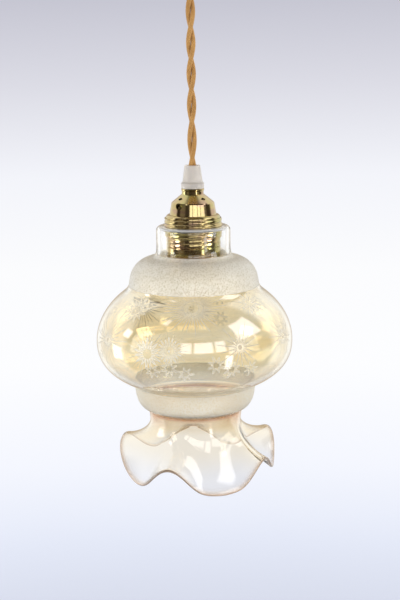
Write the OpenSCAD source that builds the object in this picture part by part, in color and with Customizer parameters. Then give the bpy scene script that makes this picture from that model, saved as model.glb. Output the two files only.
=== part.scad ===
// Pendant ceiling light: a brass E27 lampholder on a twisted two-core flex under a brass
// ceiling rose, holding a blown glass shade with a ruffled mouth between two threaded rings.
// The origin is the middle of the ceiling bracket's top face, and everything hangs below it.

/* [Ceiling rose] */
// Diameter of the rose at the ceiling
rose_d = 100; // [96:1:120]
// Height of the rose
rose_h = 30; // [28:1:40]
// Wall of the spun brass rose
rose_wall = 1; // [0.8:0.1:1.5]
// Height of the rose's straight rim
rose_rim_h = 9; // [8:0.5:11]
// Diameter of the flat hub that carries the cord grip
rose_hub_d = 26; // [22:1:32]

/* [Ceiling bracket] */
// Width of the steel strap
strap_w = 18; // [14:1:22]
// Thickness of the steel strap
strap_t = 1.6; // [1.2:0.1:2.5]
// Gap between the strap's ears and the inside of the rose
ear_gap = 4; // [3:0.5:6]
// Drop of the ears that take the rose screws
ear_h = 10; // [9:0.5:12]
// Distance between the middles of the two fixing slots
slot_spacing = 64; // [60:1:66]
// Length of a fixing slot, end to end
slot_l = 12; // [8:1:14]
// Width of a fixing slot
slot_w = 4.5; // [4:0.5:6]
// Diameter of the hole for the supply cable
cable_hole_d = 10; // [8:1:12]
// Distance of the cable hole from the middle
cable_hole_x = 13; // [12:1:15]
// Shank diameter of the rose screws
rose_screw_d = 3; // [2.5:0.5:4]
// Head diameter of the rose screws
rose_screw_head_d = 8; // [6:1:8]

/* [Terminal block] */
// Length of the block along its bores
block_l = 16; // [14:1:17]
// Width of the block across its bores
block_w = 20; // [19:1:24]
// Height of the block
block_h = 12; // [11:1:14]
// Distance between the two poles
pole_spacing = 10; // [9:0.5:11]
// Outside diameter of the brass sleeves
sleeve_d = 5; // [4.5:0.5:6]
// Bore of the brass sleeves
sleeve_bore = 3; // [2.6:0.2:3.4]

/* [Flex] */
// Diameter over the two twisted cores
flex_d = 6.7; // [6:0.1:7]
// Diameter of a core once its textile cover is off
core_d = 2.2; // [1.8:0.1:2.4]
// Length of flex between the two cord grips
flex_show = 130; // [129:0.5:131]
// Distance of the flex's bending point below the upper grip
bend_drop = 4; // [3.8:0.1:4.2]

/* [Cord grips] */
// Height of the clamping cone
grip_cone_h = 12.5; // [12:0.5:13]
// Diameter of the cone at its mouth
grip_mouth_d = 11.5; // [10.5:0.5:12.5]
// Diameter of the cone at its base
grip_cone_d = 14.2; // [13.5:0.1:15.5]
// Diameter of the grip's flange
grip_flange_d = 16.8; // [16:0.2:18]
// Height of the grip's flange
grip_flange_h = 4; // [3.5:0.5:4.5]
// Outside diameter of the threaded stud
stud_d = 10; // [9.6:0.1:10.4]
// Length of the threaded stud
stud_l = 8; // [7.5:0.5:8.5]
// Outside diameter of the split collet inside the cone
collet_d = 9.4; // [9:0.1:10]
// Number of slits in the collet
collet_slits = 4; // [3:1:6]
// Width across the flats of the lock nut in the rose
nut_af = 14; // [13:1:17]
// Height of the lock nut
nut_h = 3; // [2.5:0.5:3.5]
// Diameter of the lock washer
washer_d = 18; // [16:1:20]
// Thickness of the lock washer
washer_t = 1; // [0.8:0.1:1.2]

/* [Lampholder cap] */
// Diameter of the cap's neck
neck_d = 16.6; // [16:0.1:17.5]
// Height of the cap's neck
neck_h = 4; // [3.5:0.5:5]
// Height of the cap's cone
cone_h = 6.2; // [5.8:0.2:7]
// Diameter where the cone meets the band
band_top_d = 31; // [30.6:0.1:31.6]
// Diameter at the band's lower edge
band_d = 33.8; // [33.5:0.1:34.4]
// Height of the band
band_h = 8.5; // [8:0.5:9]
// Wall of the brass cap and shell
brass_wall = 0.8; // [0.6:0.1:0.9]
// Number of vent slots in the cone
vent_count = 4; // [3:1:6]
// Width of a vent slot
vent_w = 4.6; // [3.5:0.1:5]
// Height of a vent slot
vent_h = 3; // [2:0.1:3.4]
// Bore of the eyelet in the band
eyelet_bore = 2.9; // [2.5:0.1:3.2]
// Outside diameter of the eyelet
eyelet_d = 4.8; // [4.5:0.1:5.2]

/* [Lampholder shell] */
// Height of the shell below the cap
shell_h = 39.5; // [39:0.5:42]
// Diameter over the shell's outside thread
shell_d = 39.5; // [39.2:0.1:39.8]
// Depth of the outside thread
thread_depth = 0.5; // [0.3:0.1:0.6]
// Pitch of the outside thread
thread_pitch = 3; // [2.5:0.1:3.2]
// Length of the threaded stretch
thread_l = 19; // [18:0.5:20]
// Radius of the shoulder under the cap
shoulder_round = 2.4; // [2:0.1:2.6]
// Opening in the shell's turned-in lower lip
shell_mouth_d = 34; // [32:0.5:35]

/* [E27 socket] */
// Inside diameter of the screw shell
socket_d = 26.6; // [26.4:0.1:26.8]
// Length of the screw shell
socket_l = 23; // [22:0.5:24]
// Height of the screw shell's taper above its thread
socket_taper_h = 2.8; // [2.5:0.1:4]
// Sheet thickness of the contacts
contact_t = 0.5; // [0.4:0.1:0.6]
// Thickness of the porcelain base
base_t = 10; // [9.5:0.1:10.2]
// Bore of the porcelain liner
liner_bore = 28.6; // [28.4:0.1:29.4]
// Length of the contact leaf
leaf_l = 12; // [11:0.5:12.5]
// Width of the contact leaf
leaf_w = 6; // [5:0.5:7]
// Width of a terminal post
post_w = 6; // [5:0.5:6.5]
// Height of a terminal post
post_h = 5.4; // [5:0.2:5.8]

/* [Shade rings] */
// Height of the ring above the glass
upper_ring_h = 5.8; // [5:0.1:5.9]
// Height of the ring under the glass
lower_ring_h = 5.4; // [4.5:0.1:6.5]
// Wall of a pressed brass ring
ring_wall = 0.9; // [0.8:0.1:1.2]
// Width of the flange that bears on the glass
ring_flange = 0.5; // [0.3:0.1:0.8]

/* [Glass shade] */
// Diameter of the clear collar
collar_d = 53.6; // [52:0.2:56]
// Height of the collar
collar_h = 22.5; // [21:0.5:24]
// Wall of the blown glass
glass_wall = 2.6; // [2.2:0.1:3]
// Thickness of the turned-in lip that the rings clamp
lip_t = 2.2; // [2:0.1:3]
// Radius of the collar's upper corner
collar_round = 3; // [2.5:0.1:4]
// Diameter of the frosted shoulder
shoulder_d = 94.6; // [90:0.2:98]
// Height of the frosted shoulder
shoulder_h = 21; // [19:0.5:23]
// Largest diameter of the body
body_d = 144; // [136:1:150]
// Height from the shoulder to the body's widest level
body_up_h = 40.5; // [38:0.5:44]
// Height from the widest level down to the lower bowl
body_low_h = 31.3; // [29:0.5:34]
// Diameter of the frosted bowl where it meets the body
bowl_d = 89.4; // [86:0.2:92]
// Height of the frosted bowl
bowl_h = 19.7; // [18:0.1:22]
// Outside diameter of the waist below the bowl
waist_d = 69; // [66:0.5:72]

/* [Ruffled skirt] */
// Height of the waist's straight band
waist_h = 4; // [3:0.5:5]
// Radius of the rim at a crest
crest_reach = 57; // [54:0.5:60]
// Radius of the rim at a valley
valley_reach = 53; // [50:0.5:56]
// Drop of the rim below the waist at a crest
crest_drop = 28; // [26:0.5:32]
// Drop of the rim below the waist at a valley
valley_drop = 50; // [46:0.5:54]
// Wall of the skirt
skirt_wall = 2.2; // [2:0.1:2.2]
// Facets of the skirt round its rim
skirt_steps = 96; // [60:12:120]

/* [Clearances] */
// Gap round a moving or threaded fit
fit = 0.1; // [0.05:0.01:0.15]
// Gap between seated faces of separate pieces
seat = 0.05; // [0.02:0.01:0.1]

/* [Hidden] */

$fn = 96;
small_fn = 32;
tube_sides = 12;
core_sides = 8;
over = 1;

// Levels of the ceiling rose, from the ceiling down
rose_r = rose_d/2;
hub_r = rose_hub_d/2;
hub_step = 2.5;
grip_top = -rose_h;
grip_mouth = grip_top - grip_flange_h - grip_cone_h;
bend_z = grip_mouth - bend_drop;
rose_screw_z = -rose_rim_h/2;
strap_l = rose_d - 2*rose_wall - 2*ear_gap;
block_x = 8;
bore_z = -strap_t - block_h/2;

// Levels of the lampholder
lamp_mouth = grip_mouth - flex_show;
neck_z = lamp_mouth - grip_cone_h - grip_flange_h;
cone_z = neck_z - neck_h;
band_z = cone_z - cone_h;
shell_z = band_z - band_h;
mouth_z = shell_z - shell_h;
shell_r = shell_d/2;
shell_in_r = shell_r - thread_depth - brass_wall;
shell_neck_h = 5;
shell_neck_r = band_d/2 - brass_wall - fit - (band_d - band_top_d)/2*shell_neck_h/band_h;
vent_turn = -50;
eyelet_turn = -39;
eyelet_drop = 1.6;
eyelet_h = 1;

// Small screws and their heads
rose_head_h = 3.4;
rose_head_bevel = 0.8;
block_head_d = 5.4;
block_head_h = 2;
block_head_sunk = 1;
clamp_hole_d = 3.4;
clamp_screw_d = 2.6;
clamp_screw_l = 3.6;
post_screw_d = 2.4;
post_head_d = 3.6;
post_head_h = 1.6;
shell_screw_d = 2.5;
shell_head_d = 3.8;
shell_head_h = 1.4;
driver_w = 0.6;
driver_h = 0.7;

// Levels inside the socket
lip_top = mouth_z + brass_wall;
socket_z = mouth_z + 2.6;
socket_top = socket_z + socket_l;
base_z = socket_top + contact_t;
base_r = shell_in_r - fit;
seat_z = shell_z - brass_wall;
boss_r = shell_neck_r - brass_wall - fit - 0.2;
boss_z = seat_z + 5.4;
step_r = base_r - shoulder_round;
recess_h = 2.6;
leaf_x = 6;
leaf_drop = 0.35;
leaf_slope = 0.48;
rivet_r = 1;
shell_screw_y = 10.4;
post_x = 8;

// Levels of the glass, from its lip down
lip_z = shell_z - shoulder_round - upper_ring_h - 2*seat;
glass_bore_r = shell_r + 3*fit;
ring_r = shell_r + fit;
collar_z = lip_z - collar_h;
shoulder_z = collar_z - shoulder_h;
body_z = shoulder_z - body_up_h;
bowl_z = body_z - body_low_h;
crease_z = bowl_z - bowl_h;
body_step = 1.2;
waist_r = waist_d/2;

// Folds of the rim: angle from the front, 1 for a crest or 0 for a valley, and what this
// fold's reach and drop add to those of its kind
folds = [
    [-112, 1, 0.5, 0], [-49, 0, -0.5, 0], [-19, 1, 0, 3], [6, 0, 1, 0], [37, 0, 0.5, 0.5],
    [61, 1, 0, 3.5], [82, 0, 4, -3], [114, 1, 4, -3], [153, 0, 1, -3], [183, 1, 0, 2],
    [214, 0, 1, -3], [248, 1, 0.5, 0]
];

// Route of the flex from its bending point to the lampholder, and of the bare cores
flex_route = [
    for (z = [-54, -60, -70, -80, -90, -100, -110, -120, -130, -140, -150, -160, -170, -180, -190, -200])
        [0, 0, z]
];
stub_route = [for (z = [-22, -30, -38, -46.8]) [0, 0, z]];
rose_core_route = [
    [0, 1.4, -21.9], [0, 1.4, -20.5], [0.1, 1.6, -18.5], [0.4, 2, -16], [1.2, 2.9, -13], [3, 4.1, -9.8],
    [5.6, 4.8, -8], [9, 5, -7.6], [12, 5, -7.6]
];
holder_core_route = [
    for (p = [[1.4, 0.9], [1.4, 0], [1.7, -1.2], [2.4, -2.4], [3.4, -3.2], [4.2, -3.4], [4.9, -3.4]])
        [p[0], 0, neck_z - stud_l + p[1]]
];

// ---- helpers ----

// A power that keeps the sign, for rounder or squarer ellipses
function bulge(v, e) = sign(v)*pow(abs(v), 2/e);

// Points of an elliptic arc about [x, z] with half-axes a and b; e above 2 is squarer
function arc(x, z, a, b, t0, t1, n, e = 2) =
    [for (i = [0:n]) let (t = t0 + (t1 - t0)*i/n) [x + a*bulge(cos(t), e), z + b*bulge(sin(t), e)]];

function reversed(v) = [for (i = [len(v) - 1:-1:0]) v[i]];

// A cubic curve through the first and last of four points
function curve(p, t) =
    pow(1 - t, 3)*p[0] + 3*pow(1 - t, 2)*t*p[1] + 3*(1 - t)*t*t*p[2] + pow(t, 3)*p[3];

function unit(v) = v/norm(v);

// Direction of a route at its point i
function heading(route, i) = unit(route[min(i + 1, len(route) - 1)] - route[max(i - 1, 0)]);

// A closed round tube along a route that never runs along Y
module tube(route, d, sides) {
    rings = [
        for (i = [0:len(route) - 1])
            let (t = heading(route, i), a = unit(cross([0, 1, 0], t)), b = cross(t, a))
                for (k = [0:sides - 1]) route[i] + d/2*(a*cos(360*k/sides) + b*sin(360*k/sides))
    ];
    last = (len(route) - 1)*sides;
    walls = [
        for (i = [0:len(route) - 2], k = [0:sides - 1])
            let (j = (k + 1) % sides) [i*sides + k, (i + 1)*sides + k, (i + 1)*sides + j, i*sides + j]
    ];
    near_end = [for (k = [0:sides - 1]) k];
    far_end = [for (k = [sides - 1:-1:0]) last + k];
    polyhedron(rings, concat(walls, [near_end, far_end]));
}

module ring(r_out, r_in, h) {
    difference() {
        cylinder(r = r_out, h = h);
        translate([0, 0, -over]) cylinder(r = r_in, h = h + 2*over);
    }
}

// One solid on each side, turned half a turn about the axis
module both_sides() {
    children();
    rotate([0, 0, 180]) children();
}

module along_x(x) {
    translate([x, 0, 0]) rotate([0, 90, 0]) children();
}

// Places its children at an angle from the front, at a distance from the axis
module around(turn, r, z) {
    rotate([0, 0, turn]) translate([0, -r, z]) children();
}

// ---- ceiling rose ----

module ceiling_bracket() {
    slot_reach = (slot_l - slot_w)/2;
    color("lightgray") difference() {
        union() {
            translate([-strap_l/2, -strap_w/2, -strap_t]) cube([strap_l, strap_w, strap_t]);
            both_sides() translate([strap_l/2 - strap_t, -strap_w/2, -ear_h])
                cube([strap_t, strap_w, ear_h]);
        }
        both_sides() translate([slot_spacing/2, 0, -strap_t - over]) {
            for (x = [-slot_reach, slot_reach])
                translate([x, 0, 0]) cylinder(d = slot_w, h = strap_t + 2*over, $fn = small_fn);
            translate([-slot_reach, -slot_w/2, 0]) cube([2*slot_reach, slot_w, strap_t + 2*over]);
        }
        translate([-cable_hole_x, 0, -strap_t - over]) cylinder(d = cable_hole_d, h = strap_t + 2*over);
        translate([block_x + block_l/2, 0, -strap_t - over])
            cylinder(d = rose_screw_d + 2*seat, h = strap_t + 2*over, $fn = small_fn);
        both_sides() translate([0, 0, rose_screw_z]) along_x(strap_l/2 - strap_t - over)
            cylinder(d = rose_screw_d + 2*seat, h = strap_t + 2*over, $fn = small_fn);
    }
}

// Half outline of the rose, inset by the wall for its inside
function rose_outline(inset) = concat(
    [[rose_r - inset, 0], [rose_r - inset, -rose_rim_h]],
    arc(hub_r + hub_step, -rose_rim_h, rose_r - inset - hub_r - hub_step,
        -(rose_h - rose_rim_h - hub_step - inset), 6, 90, 14, 2.2),
    [[hub_r - inset, -(rose_h - hub_step - inset)], [hub_r - inset, -(rose_h - inset)]]
);

module ceiling_rose() {
    color("goldenrod") difference() {
        rotate_extrude() polygon(concat(
            rose_outline(0), [[stud_d/2 + fit, -rose_h], [stud_d/2 + fit, -(rose_h - rose_wall)]],
            reversed(rose_outline(rose_wall))
        ));
        both_sides() translate([0, 0, rose_screw_z]) along_x(rose_r - rose_wall - over)
            cylinder(d = rose_screw_d + 2*fit, h = rose_wall + 2*over, $fn = small_fn);
    }
}

// Two knurled screws that hold the rose to the bracket's ears
module rose_screws() {
    shank_x = strap_l/2 - strap_t - 2;
    color("goldenrod") both_sides() translate([0, 0, rose_screw_z]) {
        along_x(shank_x) cylinder(d = rose_screw_d, h = rose_r + 2*seat - shank_x, $fn = small_fn);
        along_x(rose_r + seat) rotate_extrude() polygon([
            [0, 0], [rose_screw_head_d/2, 0], [rose_screw_head_d/2, rose_head_h - rose_head_bevel],
            [rose_screw_head_d/2 - rose_head_bevel, rose_head_h], [0, rose_head_h]
        ]);
    }
}

// Places its children at each pole of the terminal block
module at_poles() {
    for (y = [-pole_spacing/2, pole_spacing/2]) translate([0, y, bore_z]) children();
}

// Places its children on the axis of each clamping screw of the block
module at_clamps() {
    for (x = [block_x + block_l*0.28, block_x + block_l*0.72])
        translate([x, 0, 0]) at_poles() children();
}

module terminal_block() {
    below = block_h/2 + over;
    color("white") difference() {
        translate([block_x, -block_w/2, -strap_t - block_h]) cube([block_l, block_w, block_h - seat]);
        at_poles() along_x(block_x - over)
            cylinder(d = sleeve_d + 2*seat, h = block_l + 2*over, $fn = small_fn);
        at_clamps() translate([0, 0, -below]) cylinder(d = clamp_hole_d, h = below, $fn = small_fn);
        translate([block_x + block_l/2, 0, -strap_t - block_h - over]) {
            cylinder(d = rose_screw_d + 2*fit, h = block_h + 2*over, $fn = small_fn);
            cylinder(
                d = block_head_d + 4*fit, h = over + block_head_sunk + block_head_h, $fn = small_fn
            );
        }
    }
}

// The screw that holds the terminal block under the strap
module block_screw() {
    color("silver") translate([block_x + block_l/2, 0, -strap_t - block_h]) {
        translate([0, 0, block_head_sunk])
            cylinder(d = block_head_d, h = block_head_h - seat, $fn = small_fn);
        translate([0, 0, block_head_h])
            cylinder(d = rose_screw_d, h = block_h + strap_t - block_head_h - 0.2, $fn = small_fn);
    }
}

module terminal_sleeves() {
    color("gold") difference() {
        at_poles() along_x(block_x + 1.5) cylinder(d = sleeve_d, h = block_l - 3, $fn = small_fn);
        at_poles() along_x(block_x) cylinder(d = sleeve_bore, h = block_l, $fn = small_fn);
        at_clamps() translate([0, 0, -sleeve_d])
            cylinder(d = clamp_screw_d + 2*seat, h = sleeve_d, $fn = small_fn);
    }
}

module terminal_screws() {
    tip = core_d/2 + seat;
    color("silver") at_clamps() difference() {
        translate([0, 0, -tip - clamp_screw_l])
            cylinder(d = clamp_screw_d, h = clamp_screw_l, $fn = small_fn);
        translate([-over - clamp_screw_d/2, -driver_w/2, -tip - clamp_screw_l - over])
            cube([2*over + clamp_screw_d, driver_w, over + driver_h]);
    }
}

module rose_cores() {
    color("tan") for (m = [0, 1]) mirror([0, m, 0]) tube(rose_core_route, core_d, core_sides);
}

module rose_lock_nut() {
    color("gold") translate([0, 0, -rose_h + rose_wall + washer_t + 2*seat]) difference() {
        cylinder(r = nut_af/sqrt(3), h = nut_h, $fn = 6);
        translate([0, 0, -over]) cylinder(r = stud_d/2 + seat, h = nut_h + 2*over);
    }
}

module rose_lock_washer() {
    color("silver") translate([0, 0, -rose_h + rose_wall + seat])
        ring(washer_d/2, stud_d/2 + fit, washer_t);
}

// ---- cord grips, drawn with the cone up and the stud down ----

grip_bore_r = flex_d/2 + fit;
collet_h = grip_cone_h - 3.5;

module grip_body() {
    rim_r = grip_flange_d/2;
    difference() {
        rotate_extrude() polygon([
            [grip_bore_r, -stud_l], [stud_d/2 - 0.5, -stud_l], [stud_d/2, -stud_l + 0.5], [stud_d/2, 0],
            [rim_r - 0.6, 0], [rim_r - 0.3, 0.4], [rim_r, grip_flange_h - 0.6],
            [rim_r - 0.6, grip_flange_h], [collet_d/2, grip_flange_h],
            [collet_d/2, grip_flange_h + collet_h - 1], [collet_d/2 - 0.6, grip_flange_h + collet_h],
            [grip_bore_r, grip_flange_h + collet_h]
        ]);
        for (i = [0:collet_slits - 1]) rotate([0, 0, i*360/collet_slits])
            translate([0, -0.4, grip_flange_h + 1]) cube([collet_d, 0.8, collet_h]);
    }
}

module grip_cone() {
    side = [
        [grip_cone_d/2 + 0.9, grip_flange_h + seat], [grip_cone_d/2, grip_flange_h + 0.8],
        [grip_cone_d/2, grip_flange_h + 1.2],
        [grip_cone_d/2 - 0.1, grip_flange_h + 2.2]
    ];
    inner_r = collet_d/2 + fit;
    top = grip_flange_h + grip_cone_h;
    rotate_extrude() polygon(concat(
        [for (i = [0:5]) curve(side, i/5)],
        [[grip_mouth_d/2, top - 0.6], [grip_mouth_d/2 - 0.6, top], [grip_bore_r + 0.6, top],
        [grip_bore_r, top - 0.6], [grip_bore_r, grip_flange_h + collet_h + 1],
        [inner_r, grip_flange_h + collet_h + 0.3], [inner_r, grip_flange_h + seat]]
    ));
}

module rose_grip_body() {
    color("ghostwhite", 0.8) translate([0, 0, grip_top - seat]) mirror([0, 0, 1]) grip_body();
}

module rose_grip_cone() {
    color("ghostwhite", 0.8) translate([0, 0, grip_top - seat]) mirror([0, 0, 1]) grip_cone();
}

module lamp_grip_body() {
    color("ghostwhite", 0.8) translate([0, 0, neck_z]) grip_body();
}

module lamp_grip_cone() {
    color("ghostwhite", 0.8) translate([0, 0, neck_z]) grip_cone();
}

// ---- flex ----

module flex_in_rose() {
    color("peru") tube(stub_route, flex_d, tube_sides);
}

// The rounded bit of flex that bends under the rose, between the two swing axes
module flex_bend() {
    color("peru") translate([0, 0, bend_z]) sphere(d = flex_d, $fn = small_fn);
}

module flex_cord() {
    color("peru") tube(flex_route, flex_d, tube_sides);
}

module holder_cores() {
    color("tan") both_sides() tube(holder_core_route, core_d, core_sides);
}

// ---- lampholder cap ----

module holder_cap() {
    neck_r = neck_d/2;
    foot_r = neck_r - 0.4;
    top_r = band_top_d/2;
    bottom_r = band_d/2;
    slope = atan2(cone_h, top_r - foot_r);
    inset = [-sin(slope), -cos(slope)]*brass_wall;
    thread_r = stud_d/2 + seat;
    color("goldenrod") difference() {
        union() {
            rotate_extrude() polygon([
                [thread_r, neck_z - seat], [neck_r - 0.4, neck_z - seat], [neck_r, neck_z - 0.5],
                [neck_r, neck_z - 1.2], [foot_r, neck_z - 2], [foot_r, cone_z],
                [top_r - 0.5, band_z + 0.4], [top_r, band_z - 0.3], [bottom_r, shell_z + seat],
                [bottom_r - brass_wall, shell_z + seat], [top_r - brass_wall, band_z + inset[1]],
                [foot_r + inset[0], cone_z + inset[1]], [thread_r, cone_z + inset[1]]
            ]);
            around(eyelet_turn, 0, band_z - eyelet_drop) rotate([90, 0, 0])
                translate([0, 0, top_r - 0.2]) cylinder(d = eyelet_d, h = eyelet_h, $fn = small_fn);
        }
        around(eyelet_turn, 0, band_z - eyelet_drop) rotate([90, 0, 0])
            translate([0, 0, top_r - 2]) cylinder(d = eyelet_bore, h = 4, $fn = small_fn);
        for (i = [0:vent_count - 1])
            around(vent_turn + i*360/vent_count, (foot_r + top_r)/2, (cone_z + band_z)/2 + 0.3)
                rotate([slope, 0, 0]) linear_extrude(4*brass_wall, center = true)
                    polygon([[-vent_w/2, 0], [0, -vent_h/2], [vent_w/2, 0], [0, vent_h/2]]);
    }
}

// ---- socket ----

module terminal_posts() {
    color("gold") both_sides() difference() {
        translate([post_x - post_w/2, -post_w/2, boss_z + seat]) cube([post_w, post_w, post_h]);
        translate([0, 0, boss_z + post_h/2]) along_x(post_x)
            cylinder(d = post_screw_d + 2*seat, h = post_w, $fn = small_fn);
    }
}

module post_screws() {
    color("silver") both_sides() translate([0, 0, boss_z + post_h/2]) difference() {
        union() {
            along_x(post_x + 0.5) cylinder(d = post_screw_d, h = post_w/2, $fn = small_fn);
            along_x(post_x + post_w/2 + seat) cylinder(d = post_head_d, h = post_head_h, $fn = small_fn);
        }
        translate([post_x + post_w/2 + post_head_h - driver_h, -post_head_d/2 - over, -driver_w/2])
            cube([driver_h + over, post_head_d + 2*over, driver_w]);
    }
}

// The strap that joins one post to the screw shell's screws
module side_contact() {
    reach = shell_screw_y + 2.4;
    color("gold") difference() {
        translate([-post_x - 0.5, -reach, boss_z + seat]) {
            cube([post_x + 3, reach - post_w/2 - seat, contact_t + 0.3]);
        }
        translate([0, -shell_screw_y, boss_z - over])
            cylinder(d = shell_screw_d + 2*seat, h = 3*over, $fn = small_fn);
        rotate_extrude() translate([boss_r, boss_z - over]) square([4*over, 4*over]);
    }
}

module socket_base() {
    color("white") difference() {
        union() {
            translate([0, 0, base_z + seat]) cylinder(r = base_r, h = base_t);
            translate([0, 0, base_z + base_t]) cylinder(r = step_r, h = seat_z - seat - base_z - base_t);
            translate([0, 0, seat_z - over]) cylinder(r = boss_r, h = boss_z - seat_z + over);
        }
        translate([-leaf_l/2 - 0.6, -leaf_w/2 - 1.2, base_z - over])
            cube([leaf_l + 2.6, leaf_w + 2.4, recess_h + over]);
        translate([leaf_x, 0, base_z])
            cylinder(r = rivet_r + seat, h = boss_z - base_z + over, $fn = small_fn);
        for (y = [-shell_screw_y, shell_screw_y])
            translate([0, y, base_z - over])
                cylinder(d = shell_screw_d + 2*seat, h = boss_z - base_z + 2*over, $fn = small_fn);
    }
}

// The sprung leaf that meets the lamp's centre contact, drawn in its side view
module contact_leaf() {
    top = base_z + recess_h - leaf_drop;
    tail = 1.6;
    bend = leaf_x - 1;
    tip_x = leaf_x + tail - leaf_l;
    tip_z = top - (bend - tip_x)*leaf_slope;
    color("gold") difference() {
        rotate([90, 0, 0]) linear_extrude(leaf_w, center = true) polygon([
            [leaf_x + tail, top], [bend, top], [tip_x, tip_z], [tip_x, tip_z - contact_t],
            [-1.6, top - (bend + 1.6)*leaf_slope - contact_t], [-0.9, top - bend*leaf_slope - 1.3],
            [0.9, top - bend*leaf_slope - 1.3], [2, top - (bend - 2)*leaf_slope - contact_t],
            [bend, top - contact_t], [leaf_x + tail, top - contact_t]
        ]);
        translate([leaf_x, 0, top - over]) cylinder(r = rivet_r + 0.35, h = 2*over, $fn = small_fn);
    }
}

module leaf_rivet() {
    head_top = base_z + recess_h - leaf_drop - contact_t - 0.55;
    color("gold") {
        translate([leaf_x, 0, head_top - 0.8]) cylinder(r = 1.9, h = 0.8, $fn = small_fn);
        translate([leaf_x, 0, head_top - 0.4])
            cylinder(r = rivet_r, h = boss_z - head_top + 0.4, $fn = small_fn);
    }
}

module screw_shell() {
    r = socket_d/2;
    flange_r = 8.6;
    throat_r = r - 0.8;
    taper_z = socket_top - socket_taper_h;
    color("gold") difference() {
        rotate_extrude() polygon([
            [r, socket_z], [r + contact_t, socket_z], [r + contact_t, taper_z],
            [throat_r + contact_t, base_z], [flange_r, base_z], [flange_r, socket_top],
            [throat_r, socket_top], [r, taper_z]
        ]);
        for (y = [-shell_screw_y, shell_screw_y]) translate([0, y, base_z - 2*over])
            cylinder(d = shell_screw_d + 2*seat, h = 3*over, $fn = small_fn);
    }
}

// The two screws that hold the screw shell to the base and clamp the side contact
module shell_screws() {
    head_z = base_z - contact_t - seat;
    color("silver") for (y = [-shell_screw_y, shell_screw_y]) translate([0, y, 0]) {
        translate([0, 0, head_z - shell_head_h])
            cylinder(d = shell_head_d, h = shell_head_h, $fn = small_fn);
        translate([0, 0, head_z - shell_head_h/2])
            cylinder(d = shell_screw_d, h = boss_z - head_z + shell_head_h + 0.5, $fn = small_fn);
    }
}

module socket_liner() {
    color("white") translate([0, 0, lip_top + seat])
        ring(base_r, liner_bore/2, base_z - lip_top - seat);
}

// ---- lampholder shell and shade rings ----

// Rounded ribs down a pressed thread, from a level down
function ribs(r, depth, z, count) = [
    for (i = [0:6*count]) [r - depth*(1 + cos(60*i))/2, z - i*thread_pitch/6]
];

module holder_shell() {
    ribs_n = floor(thread_l/thread_pitch);
    shoulder_low = shell_z - shoulder_round;
    groove_z = shoulder_low - ribs_n*thread_pitch;
    in_round = shoulder_round - brass_wall;
    neck_top = shell_z + shell_neck_h;
    color("goldenrod") rotate_extrude() polygon(concat(
        [[shell_neck_r - brass_wall, neck_top], [shell_neck_r, neck_top], [shell_neck_r, shell_z]],
        arc(shell_r - shoulder_round, shoulder_low, shoulder_round, shoulder_round, 90, 0, 6),
        ribs(shell_r, thread_depth, shoulder_low - 0.2, ribs_n),
        [[shell_r - 0.9, groove_z - 0.4], [shell_r - 0.9, groove_z - 0.9], [shell_r, groove_z - 1.3]],
        arc(shell_r - 0.8, mouth_z + 0.8, 0.8, -0.8, 0, 90, 4),
        [[shell_mouth_d/2, mouth_z], [shell_mouth_d/2, lip_top], [shell_in_r, lip_top]],
        arc(shell_in_r - in_round, shoulder_low, in_round, in_round, 0, 90, 6),
        [[shell_neck_r - brass_wall, seat_z]]
    ));
}

// A threaded ring of height h with its flange at z = 0
module shade_ring(h) {
    crest = ring_r + ring_wall;
    ribs_n = floor((h - 1)/thread_pitch*2)/2;
    rotate_extrude() polygon(concat(
        [[ring_r, 0], [crest + ring_flange, 0], [crest + ring_flange, 0.8], [crest - 0.4, 1]],
        [for (i = [1:12*ribs_n]) [crest - 0.4*(1 + cos(30*i))/2, 1 + i*(h - 1)/(12*ribs_n)]],
        [[ring_r, h]]
    ));
}

module upper_ring() {
    color("goldenrod") translate([0, 0, lip_z + seat]) shade_ring(upper_ring_h);
}

module lower_ring() {
    color("goldenrod") translate([0, 0, lip_z - lip_t - seat]) mirror([0, 0, 1]) shade_ring(lower_ring_h);
}

// ---- glass shade ----

body_e = 2;
belly_e = 2.3;
shoulder_e = 2.3;
bowl_e = 2.4;

// Half outline of the glass from the collar to the crease; inset by the wall for its inside
function glass_outline(inset) =
    let (
        collar_r = collar_d/2 - inset,
        shoulder_r = shoulder_d/2 - inset,
        body_r = body_d/2,
        bowl_r = bowl_d/2,
        inner_waist = waist_r - inset,
        step_h = 2*body_step,
        up_turn = acos((shoulder_d/2 + body_step)/body_r),
        up_b = (body_up_h - step_h)/sin(up_turn),
        low_turn = acos(pow((bowl_r + body_step)/body_r, belly_e/2)),
        low_b = body_low_h/pow(sin(low_turn), 2/belly_e)
    )
    concat(
        arc(collar_r, shoulder_z, shoulder_r - collar_r, shoulder_h - inset, 90, 0, 10, shoulder_e),
        arc(0, body_z, body_r - inset, up_b - inset, up_turn, 0, 14, body_e),
        [
            for (p = arc(0, body_z, body_r - inset, inset - low_b, 0, low_turn, 12, belly_e))
                if (p[1] < body_z) p
        ],
        arc(inner_waist, bowl_z, bowl_r - waist_r, inset - bowl_h, 0, 90, 9, bowl_e)
    );

module glass_bulb() {
    collar_r = collar_d/2;
    rotate_extrude() polygon(concat(
        [[glass_bore_r, lip_z - lip_t], [glass_bore_r, lip_z]],
        arc(collar_r - collar_round, lip_z - collar_round, collar_round, collar_round, 90, 0, 5),
        glass_outline(0),
        [[waist_r, crease_z - waist_h], [waist_r - glass_wall, crease_z - waist_h]],
        reversed(glass_outline(glass_wall)),
        [[collar_r - glass_wall, lip_z - lip_t]]
    ));
}

// A fold as angle, reach and drop
function fold_at(i) =
    let (n = len(folds), f = folds[i % n], crest = f[1])
    [
        f[0] + 360*floor(i/n),
        (crest == 1 ? crest_reach : valley_reach) + f[2],
        (crest == 1 ? crest_drop : valley_drop) + f[3]
    ];

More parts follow.
